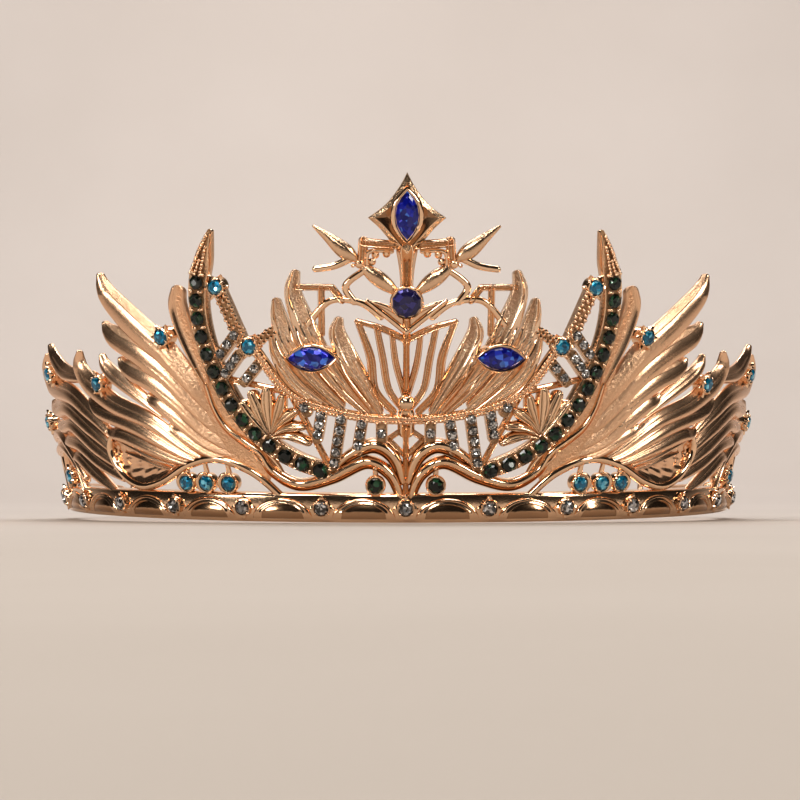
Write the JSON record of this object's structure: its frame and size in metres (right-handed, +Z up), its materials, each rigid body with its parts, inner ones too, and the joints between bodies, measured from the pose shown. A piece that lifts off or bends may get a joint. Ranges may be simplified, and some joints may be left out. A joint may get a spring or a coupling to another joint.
{
  "type": "tiara crown",
  "caption": "Half-round gold tiara with a pierced crest of wings, crescents and a diamond, set with coloured stones, and wire ends with ribbon loops.",
  "frame": {"origin": "middle of the crown's box, at the level of the surface that it stands on", "axes": "+X to the wearer's left, which is the right side as seen from the front, -Y to the front, +Z up"},
  "size_m": [0.1598, 0.1321, 0.0688],
  "materials": {
    "gold": "champagne gold plating on a zinc casting, bright on the raised rims and lightly sandblasted in the hollows",
    "blue_glass": "cobalt blue cut glass with a foiled back",
    "indigo_glass": "dark indigo cut glass with a foiled back",
    "teal_glass": "turquoise cut glass with a foiled back",
    "green_glass": "very dark green cut glass with a foiled back",
    "clear_glass": "clear cut glass with a silver foiled back"
  },
  "bodies": {
    "root": {"crown_frame": "gold", "end_wire_left": "gold", "end_wire_right": "gold", "marquise_top": "blue_glass", "marquise_left": "blue_glass", "marquise_right": "blue_glass", "round_center": "indigo_glass", "teal_crescent_left": "teal_glass", "teal_lattice_left": "teal_glass", "teal_wing_left": "teal_glass", "teal_side_a_left": "teal_glass", "teal_side_b_left": "teal_glass", "teal_side_c_left": "teal_glass", "teal_side_d_left": "teal_glass", "teal_trio_a_left": "teal_glass", "teal_trio_b_left": "teal_glass", "teal_trio_c_left": "teal_glass", "teal_crescent_right": "teal_glass", "teal_lattice_right": "teal_glass", "teal_wing_right": "teal_glass", "teal_side_a_right": "teal_glass", "teal_side_b_right": "teal_glass", "teal_side_c_right": "teal_glass", "teal_side_d_right": "teal_glass", "teal_trio_a_right": "teal_glass", "teal_trio_b_right": "teal_glass", "teal_trio_c_right": "teal_glass", "drop_left": "green_glass", "drop_right": "green_glass", "clear_01": "clear_glass", "clear_02": "clear_glass", "clear_03": "clear_glass", "clear_04": "clear_glass", "clear_05": "clear_glass", "clear_06": "clear_glass", "clear_07": "clear_glass", "clear_08": "clear_glass", "clear_09": "clear_glass", "clear_10": "clear_glass", "clear_11": "clear_glass", "clear_12": "clear_glass", "clear_13": "clear_glass", "clear_14": "clear_glass", "clear_15": "clear_glass", "crescent_stones_left": "green_glass", "crescent_stones_right": "green_glass", "pave_left": "clear_glass", "pave_right": "clear_glass"}
  },
  "joints": []
}
